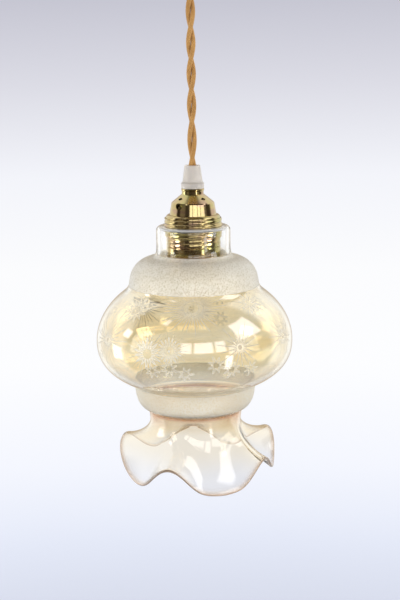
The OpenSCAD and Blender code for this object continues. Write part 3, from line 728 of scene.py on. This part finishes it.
def make_glass(material_out, material_in):
    """The shade as one closed mesh: etched outside, plain inside, with its rim marked."""
    steps, lip_rows, faint = 288, 8, 1 / 6
    columns = [glass_column(360 * i / steps) for i in range(steps)]
    rim_start, rim_end = columns[0][1:]
    grid = np.array([column for column, _, _ in columns])
    rows = grid.shape[1]
    z = grid[0, :, 1]
    soft = [k for k in range(rows) if z[k] < collar_foot + 4 and not rim_start - 4 <= k <= rim_end + 4]
    grid = smoothed(grid, soft, 3)
    angles = np.array([TAU * i / steps for i in range(steps)])[:, None]
    z = grid[:, :, 1]
    r = uneven_radius(grid[:, :, 0], z, angles)
    points = np.stack([r * np.sin(angles), -r * np.cos(angles), z], -1).reshape(-1, 3)
    shade = new_piece(
        "blown_glass_shade", points.tolist(), grid_faces(steps, rows), material_out, "shade")
    mesh = shade.data
    mesh.materials.append(material_in)
    inside = [1 if rim_end <= k < rows - lip_rows else 0 for k in range(rows)]
    mesh.polygons.foreach_set("material_index", inside * steps)
    edge = [1.0 if rim_start <= k <= rim_end else 0.0 for k in range(rows)]
    edge[rim_start - 1] = edge[rim_end + 1] = faint
    mesh.attributes.new("edge_tint", "FLOAT", "POINT").data.foreach_set("value", edge * steps)
    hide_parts("glass_shade")


# Etched flowers: angle from the front, level under the lip, radius, how many rays or petals, half-width of
# one of them, how deep it is cut and its hub's share of the radius (0 for a clear middle). Stars have fine
# rays, and daisies have petals, which are cut deeper along their outline.
stars = [
    (-0.5, 50, 25, 44, 0.27, 0.9, 0), (-59.6, 75.5, 23, 28, 0.28, 0.9, 0.08),
    (-26.8, 79, 18, 34, 0.22, 0.6, 0), (-12, 75, 13, 30, 0.2, 0.5, 0),
    (26.3, 75.3, 18, 17, 0.28, 1.0, 0.10), (62, 75, 17, 20, 0.28, 0.9, 0.08),
    (44, 50, 14, 9, 0.24, 0.7, 0), (100, 76, 20, 26, 0.28, 0.9, 0.08),
    (138, 64, 20, 36, 0.26, 0.3, 0), (-145, 72, 21, 28, 0.28, 0.9, 0.08),
]
daisies = [
    (-0.5, 50, 14, 26, 0.35, 0.45, 0), (-59.6, 75.5, 9, 12, 0.9, 0.9, 0.1),
    (-26.8, 79, 12.5, 15, 1.15, 1.0, 0), (-14, 76, 11, 19, 0.9, 0.8, 0.1),
    (46, 50, 12, 8, 1.5, 0.8, 0), (-44, 53, 13, 12, 1.2, 0.55, 0),
    (26.3, 75.3, 9, 12, 0.9, 0.5, 0.1), (62, 75, 8, 11, 0.9, 0.8, 0.1),
    (-14, 88, 8, 8, 1.2, 0.7, 0), (-5, 92, 7, 7, 1.1, 0.7, 0), (-24, 91, 7, 7, 1.1, 0.7, 0),
    (12, 86, 8, 8, 1.2, 0.7, 0), (21, 90, 8, 8, 1.2, 0.7, 0), (33, 91, 7, 7, 1.1, 0.6, 0),
    (163, 84, 8, 8, 1.2, 0.7, 0), (178, 76, 13, 15, 1.1, 0.8, 0), (-103, 62, 16, 12, 1.6, 0.7, 0),
]


def flower_place(angle, under):
    """A flower's middle on the body, in metres, and how much longer than high the wall is there."""
    body = [p for p in bulb_outline(0) if bowl_level + 1 < p[1] < shoulder_level - 1]
    levels, radii = [-p[1] for p in body], [p[0] for p in body]
    z = lip_z - under
    r = float(np.interp(-z, levels, radii))
    slope = float(np.interp(-z - 1, levels, radii) - np.interp(-z + 1, levels, radii)) / 2
    a = math.radians(angle)
    return Vector((r * math.sin(a), -r * math.cos(a), z)) * MM, math.hypot(1, slope)


def nearest_flower(s, kinds):
    """The middle of the flower nearest to each point, then its form and its cut, as in the lists above."""
    # There is none where all are over 1.1 of their radii away: nothing is wide or deep there
    near, middle, form, cut = 1.1, (0, 0, 0), (0.001, 1, 0), (1, 0, 0)
    for angle, under, radius, rays, width, depth, hub in kinds:
        place, stretch = flower_place(angle, under)
        away = s.ratio(s.vector("DISTANCE", s.place, place), radius * MM)
        closer = s.math("LESS_THAN", away, near)
        near = s.math("MINIMUM", away, near)
        middle = s.pick(closer, middle, place)
        form = s.pick(closer, form, (radius * MM, rays, width * MM))
        cut = s.pick(closer, cut, (stretch, depth, hub))
    return middle, s.parts(form), s.parts(cut)


def etched_layer(s, kinds, uneven, outline):
    """A mask of flowers of one kind: fine rays, or petals with an outline that is this wide."""
    middle, (radius, rays, width), (stretch, depth, hub) = nearest_flower(s, kinds)
    length, start, blur, edge, inside_petal = 0.82, 0.25, 0.02, 0.1 * MM, 0.45
    # Each point in the flower's own plane
    across = s.parts(s.vector("CROSS_PRODUCT", middle, s.place))[2]
    x = s.ratio(across, s.vector("LENGTH", s.stretch(middle, 1, 1, 0)))
    y = s.times(s.parts(s.vector("SUBTRACT", s.place, middle))[2], stretch)
    r = s.math("SQRT", s.plus(s.times(x, x), s.times(y, y)))
    # The ray it lies on, how far it is from the ray's middle line, and its share of the ray's length, which
    # isn't the same from ray to ray
    counted = s.times(s.ratio(s.plus(s.math("ARCTAN2", y, x), math.pi), TAU), rays)
    off = s.math("ABSOLUTE", s.minus(s.math("FRACT", counted), 0.5))
    aside = s.ratio(s.times(off, TAU, r), rays)
    swing = s.math("SINE", s.times(s.math("FLOOR", counted), 2.4))
    along = s.ratio(r, s.times(radius, s.plus(length, s.times(swing, uneven))))
    half = s.times(width, s.math("SQRT", s.most(s.minus(1.0, s.times(along, along)), 0.0)))
    ray = s.remap(s.minus(aside, half), -edge, edge, 1, 0)
    if outline:
        inner = s.minus(half, outline * MM)
        ray = s.times(ray, s.remap(s.minus(aside, inner), -edge, edge, inside_petal, 1))
    ray = s.times(ray, s.remap(along, 0.95, 1.02, 1, 0))
    share = s.ratio(r, radius)
    ray = s.times(ray, s.remap(s.minus(share, s.minus(start, hub)), -blur, blur))
    disc = s.remap(s.minus(share, hub), -blur, 0.0, 1, 0)
    return s.times(s.most(ray, disc), depth)


class Glass(Shader):
    """Blown glass: clear in the collar, amber in the body, paler in the skirt and brown at neck and rim."""

    def __init__(self, name):
        super().__init__(name)
        self.level = self.parts(self.place)[2]
        self.rim = self.add("ShaderNodeAttribute", attribute_name="edge_tint").outputs["Fac"]
        self.turned = self.add("ShaderNodeLayerWeight").outputs["Facing"]
        self.swirl = self.noise(self.stretch(self.place, 1, 1, 2.2), 26, 2.0)
        self.below_collar = self.remap(self.level, (collar_foot + 1) * MM, (collar_foot + 5) * MM, 1, 0)
        self.neck = self.band(self.level, crease - 16, crease - 3, crease - 1.0, crease + 1.4, MM)
        self.crease_line = self.band(
            self.level, crease - 4.5, crease - 1.5, crease - 0.2, crease + 1.0, MM)
        self.set(IOR=1.45)

    def in_skirt(self, above=0.0, below=1.0):
        """A value above the crease that passes into another below it."""
        return self.remap(self.level, (crease - 4) * MM, (crease - 14) * MM, above, below)

    def tint(self):
        """The colour that the glass gives to light."""
        streak = self.noise(self.stretch(self.place, 1, 1, 3.5), 17, 3.0)
        colour = self.mix(self.remap(streak, 0.38, 0.62), rgb(1.0, 0.95, 0.80), rgb(0.99, 0.88, 0.64))
        colour = self.mix(self.in_skirt(), colour, rgb(0.98, 0.90, 0.74))
        clearing = self.remap(self.level, (crease - 24) * MM, (crease - 46) * MM)
        colour = self.mix(clearing, colour, rgb(1.0, 0.985, 0.95))
        colour = self.mix(self.below_collar, rgb(1.0, 1.0, 0.99), colour)
        # The neck is seen through more glass where its wall turns away
        graze = self.remap(self.turned, 0.15, 0.6, 0.25, 1.0)
        colour = self.mix(self.times(self.neck, graze), colour, rgb(0.62, 0.36, 0.19))
        colour = self.mix(self.times(self.crease_line, 0.9), colour, rgb(0.52, 0.24, 0.06))
        return self.mix(self.times(self.rim, 0.8), colour, rgb(0.68, 0.46, 0.30))


def frosting(s):
    """Masks of the frosted shoulder, with the collar's foot, and of the frosted bowl."""
    # Their edges wander a little up and down
    wander = s.times(s.minus(s.noise(s.place, 900, 2.0), 0.5), 1.2 * MM)
    level = s.plus(s.level, wander)
    shoulder = s.band(
        level, shoulder_level + 0.2, shoulder_level + 0.8, collar_foot + 2.2, collar_foot + 3.0, MM)
    return shoulder, s.band(level, crease + 1.6, crease + 3.0, bowl_level - 0.8, bowl_level - 0.2, MM)


def flowers(s):
    """Masks of the flowers' fine rays and of their petals, which are cut less evenly."""
    rays = etched_layer(s, stars, 0.22, 0)
    petals = etched_layer(s, daisies, 0.07, 0.4)
    return rays, s.times(petals, s.remap(s.noise(s.place, 1700, 2.0), 0.25, 0.5, 0.55, 1.0))


def inner_glass():
    """The glass's plain inside."""
    s = Glass("inner_glass")
    s.set(
        Base_Color=s.tint(),
        Roughness=s.remap(s.swirl, 0.3, 0.7, 0.0, 0.02),
        Transmission_Weight=s.minus(1.0, s.times(s.rim, 0.35)),
    )
    s.bump(s.swirl, 0.6 * MM, 0.15)
    return s.material


def etched_glass():
    """The glass's outside: frosted on the shoulder and bowl and cut with flowers."""
    s = Glass("etched_glass")
    shoulder, bowl = frosting(s)
    frost = s.most(shoulder, bowl)
    crackle = s.times(s.cells(s.place, 1000), 0.3)
    grain = s.remap(s.plus(s.noise(s.place, 900, 3.0, 0.75), crackle), 0.50, 0.70)
    rays, petals = flowers(s)
    etching = s.most(rays, petals)
    matt = s.most(s.times(frost, s.remap(grain, 0.0, 1.0, 1.0, 0.85)), etching)
    # Painted shade: the frosting is coloured darker in the pits of its grain than on its crests
    pit_painted_shade = s.mix(bowl, rgb(0.64, 0.60, 0.48), rgb(0.86, 0.77, 0.56))
    crest = s.mix(bowl, rgb(1.0, 0.98, 0.93), rgb(1.0, 0.96, 0.84))
    cream = s.mix(s.most(grain, petals), pit_painted_shade, crest)
    cream = s.mix(s.times(rays, 0.9), cream, rgb(0.55, 0.45, 0.33))
    # What scatters light instead of letting it through
    bands = s.plus(s.times(shoulder, 0.5), s.times(bowl, 0.45))
    lip = s.remap(s.level, (lip_z - 1.6) * MM, (lip_z - 0.6) * MM, 0.0, 0.4)
    wedge = s.times(s.neck, s.remap(s.turned, 0.3, 0.7, 0.0, 0.6))
    milk = s.most(
        bands, s.times(etching, 0.65), s.times(s.rim, 0.35), lip, wedge, s.times(s.crease_line, 0.35))
    # A thin lustre on the amber part, which reflects more than plain glass does
    lustre = s.times(s.below_collar, s.in_skirt(1.0, 0.3))
    s.set(
        Base_Color=s.mix(s.times(matt, 0.9), s.tint(), cream),
        Roughness=s.plus(0.01, s.times(matt, 0.36)),
        Transmission_Weight=s.minus(1.0, milk),
        Coat_Weight=s.times(s.minus(1.0, s.most(matt, wedge)), lustre),
        Coat_IOR=2.3,
        Coat_Roughness=0.01,
    )
    relief = s.minus(s.times(grain, frost), etching)
    s.bump(s.plus(relief, s.times(s.swirl, 0.3)), 0.35 * MM, 0.5)
    return s.material


make_glass(etched_glass(), inner_glass())

# ---- studio ----

# Soft windows round the light: azimuth from the front and elevation, each from and to, in degrees, and
# how bright they are
windows = [
    (-16, -3, 6, 27, 2.1), (0, 22, 6, 27, 2.1), (25, 37, 6, 27, 2.1), (40, 60, 0, 16, 1.7),
    (56, 92, 23, 50, 2.1), (36, 44, -32, -3, 3.5), (-97, -86, 16, 27, 2.6), (-108, -93, -18, -2, 2.6),
    (-58, -48, 54, 64, 1.6),
]
window_blur = 1.5


def backdrop_colour(w, z):
    """The pale backdrop, greyer towards the picture's top and bottom."""
    return w.ramp(w.remap(z, -1, 1), [
        (0.00, rgb(1.0, 1.0, 1.0)), (0.24, rgb(0.98, 0.98, 1.0)), (0.27, rgb(0.70, 0.74, 0.88)),
        (0.30, rgb(0.79, 0.83, 0.95)), (0.33, rgb(0.91, 0.93, 1.0)), (0.37, rgb(0.98, 0.985, 1.0)),
        (0.41, rgb(0.97, 0.975, 0.99)), (0.45, rgb(0.90, 0.91, 0.96)), (0.49, rgb(0.71, 0.71, 0.78)),
        (0.525, rgb(0.56, 0.56, 0.64)), (0.56, rgb(1.0, 1.0, 1.0)), (1.00, rgb(1.0, 1.0, 1.0)),
    ])


def room_colour(w, azimuth, y, z):
    """The room that reflects in brass and glass: a pale sweep at the back, darker in front and above."""
    walls = w.ramp(w.remap(azimuth, -math.pi, math.pi), [
        (0.00, rgb(0.56, 0.46, 0.33)), (0.03, rgb(0.60, 0.50, 0.37)), (0.07, rgb(1.10, 1.10, 1.08)),
        (0.24, rgb(1.05, 1.05, 1.02)), (0.265, rgb(0.05, 0.04, 0.03)), (0.305, rgb(0.05, 0.04, 0.03)),
        (0.32, rgb(0.27, 0.24, 0.20)), (0.38, rgb(0.22, 0.19, 0.16)), (0.40, rgb(0.06, 0.05, 0.04)),
        (0.50, rgb(0.08, 0.06, 0.05)), (0.57, rgb(0.13, 0.11, 0.09)), (0.62, rgb(0.36, 0.33, 0.28)),
        (0.69, rgb(0.26, 0.24, 0.20)), (0.71, rgb(0.06, 0.05, 0.04)), (0.77, rgb(0.08, 0.07, 0.05)),
        (0.80, rgb(1.05, 1.05, 1.02)), (0.93, rgb(1.10, 1.10, 1.08)), (0.97, rgb(0.60, 0.50, 0.37)),
        (1.00, rgb(0.56, 0.46, 0.33)),
    ])
    above = w.times(w.remap(z, 0.5, 0.7), w.remap(y, 0.12, 0.25, 1, 0))
    room = w.mix(above, walls, rgb(0.11, 0.09, 0.06))
    return w.mix(w.remap(z, -0.80, -0.70, 1, 0), room, rgb(0.42, 0.41, 0.40))


def window_glow(w, azimuth, elevation):
    """How bright the windows are in each direction."""
    glow, blur, degree = 0.0, window_blur, math.radians(1)
    for left, right, low, high, strength in windows:
        across = w.band(azimuth, left - blur, left + blur, right - blur, right + blur, degree)
        up = w.band(elevation, low - blur, low + blur, high - blur, high + blur, degree)
        glow = w.plus(glow, w.times(across, up, strength))
    return glow


def make_world():
    """A backdrop for the camera and for what shows through the glass, a room for what is mirrored, and a
    plain white fill for the rest."""
    world = bpy.data.worlds.new("studio")
    bpy.context.scene.world = world
    world.use_nodes = True
    w = Nodes(world.node_tree, "LINEAR")
    x, y, z = w.parts(w.add("ShaderNodeTexCoord").outputs["Generated"])
    azimuth = w.math("ARCTAN2", x, w.times(y, -1))
    glow = window_glow(w, azimuth, w.math("ARCSINE", z))
    room = w.vector("ADD", room_colour(w, azimuth, y, z), glow)
    paths = w.add("ShaderNodeLightPath").outputs
    mirrored = w.math("GREATER_THAN", paths["Glossy Depth"], 0.5)
    fill = w.mix(w.remap(z, -0.1, 0.9), rgb(1.0, 1.0, 1.0), rgb(0.50, 0.50, 0.52))
    seen = w.most(paths["Is Camera Ray"], w.times(paths["Is Transmission Ray"], w.minus(1, mirrored)))
    colour = w.mix(seen, w.mix(mirrored, fill, room), backdrop_colour(w, z))
    w.add("ShaderNodeOutputWorld", w.add("ShaderNodeBackground", colour).outputs[0])


def make_floor():
    """A pale floor, in metres, that fades into the backdrop."""
    size, level, rings, steps = 2.6, -1.35, 12, 96
    points = [(0.0, 0.0, level)]
    for k in range(1, rings + 1):
        for i in range(steps):
            a = TAU * i / steps
            points.append((size * k / rings * math.cos(a), size * k / rings * math.sin(a), level))
    faces = [(0, 1 + i, 1 + (i + 1) % steps) for i in range(steps)]
    for k in range(rings - 1):
        for i in range(steps):
            j = (i + 1) % steps
            inner, outer = 1 + k * steps, 1 + (k + 1) * steps
            faces.append((inner + i, outer + i, outer + j, inner + j))
    mesh = bpy.data.meshes.new("floor")
    mesh.from_pydata(points, [], faces)
    floor = bpy.data.objects.new("floor", mesh)
    bpy.context.scene.collection.objects.link(floor)
    s = Shader("pale_floor")
    s.set(Base_Color=rgb(0.86, 0.88, 0.95), Roughness=0.9)
    flat = s.vector("LENGTH", s.stretch(s.place, 1, 1, 0))
    s.set(Alpha=s.remap(flat, 0.5, 2.3, 1.0, 0.0))
    mesh.materials.append(s.material)


def make_lamp(name, place, aim, size, power):
    """A soft rectangular studio lamp."""
    data = bpy.data.lights.new(name, "AREA")
    data.shape = "RECTANGLE"
    data.size, data.size_y = size
    data.energy = power
    lamp = bpy.data.objects.new(name, data)
    lamp.visible_glossy = False
    lamp.location = place
    lamp.rotation_mode = "QUATERNION"
    lamp.rotation_quaternion = (Vector(aim) - Vector(place)).to_track_quat("-Z", "Y")
    bpy.context.scene.collection.objects.link(lamp)


make_world()
make_floor()
shade_middle = (0, 0, -0.29)
make_lamp("window_right", (1.4, -0.5, 0.0), shade_middle, (0.5, 0.8), 9)
make_lamp("window_left", (-1.4, -0.5, 0.0), shade_middle, (0.5, 0.8), 9)
make_lamp("overhead", (0.2, 0.1, 1.2), shade_middle, (1.2, 1.2), 3)
bpy.context.scene.view_settings.view_transform = "Standard"
